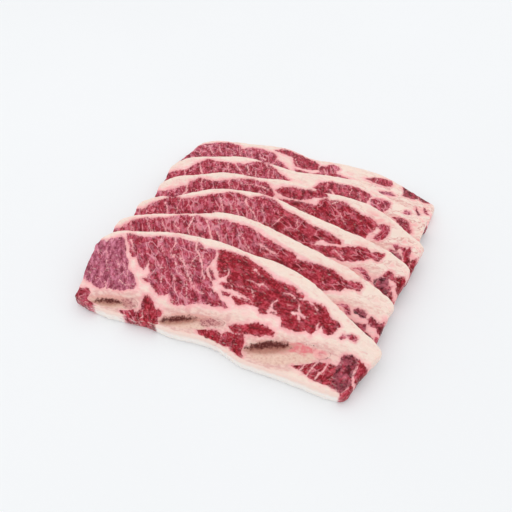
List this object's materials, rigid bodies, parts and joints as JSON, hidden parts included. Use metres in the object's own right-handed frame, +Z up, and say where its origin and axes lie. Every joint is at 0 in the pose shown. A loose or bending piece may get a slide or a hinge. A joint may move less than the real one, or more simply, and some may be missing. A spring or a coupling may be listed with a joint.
{
  "type": "raw beef short ribs",
  "caption": "Raw beef short ribs sawn across the bones, laid in a shingled row: red marbled lean with a pale fat cap and rib bones in the cut.",
  "frame": {"origin": "middle of the pile's footprint, on the surface it rests on", "axes": "+X along the slices, from their left end to their right end; +Y across the pile, from the front slice's foot to the rear slice's fat cap; +Z up"},
  "size_m": [0.2584, 0.2436, 0.0342],
  "materials": {
    "lean": "raw marbled lean beef, crimson to purplish pink with fine pale veins, moist and softly glossy",
    "fat_cap": "firm pinkish cream fat, satin, a little mottled",
    "membrane": "thin whitish membrane and fat along the rib side, satin",
    "bone": "sawn rib bone, cream with a pink blush and fine specks, matte",
    "marrow": "spongy dark red marrow core, rough"
  },
  "bodies": {
    "root": {"lean_1": "lean", "fat_cap_1": "fat_cap", "membrane_1": "membrane", "bone_1_left": "bone", "marrow_1_left": "marrow", "bone_1_middle": "bone", "marrow_1_middle": "marrow", "bone_1_right": "bone", "marrow_1_right": "marrow", "lean_2": "lean", "fat_cap_2": "fat_cap", "membrane_2": "membrane", "bone_2_left": "bone", "marrow_2_left": "marrow", "bone_2_middle": "bone", "marrow_2_middle": "marrow", "bone_2_right": "bone", "marrow_2_right": "marrow", "lean_3": "lean", "fat_cap_3": "fat_cap", "membrane_3": "membrane", "bone_3_left": "bone", "marrow_3_left": "marrow", "bone_3_middle": "bone", "marrow_3_middle": "marrow", "bone_3_right": "bone", "marrow_3_right": "marrow", "lean_4": "lean", "fat_cap_4": "fat_cap", "membrane_4": "membrane", "bone_4_left": "bone", "marrow_4_left": "marrow", "bone_4_middle": "bone", "marrow_4_middle": "marrow", "bone_4_right": "bone", "marrow_4_right": "marrow", "lean_5": "lean", "fat_cap_5": "fat_cap", "membrane_5": "membrane", "bone_5_left": "bone", "marrow_5_left": "marrow", "bone_5_middle": "bone", "marrow_5_middle": "marrow", "bone_5_right": "bone", "marrow_5_right": "marrow", "lean_6": "lean", "fat_cap_6": "fat_cap", "membrane_6": "membrane", "bone_6_left": "bone", "marrow_6_left": "marrow", "bone_6_middle": "bone", "marrow_6_middle": "marrow", "bone_6_right": "bone", "marrow_6_right": "marrow"}
  },
  "joints": []
}
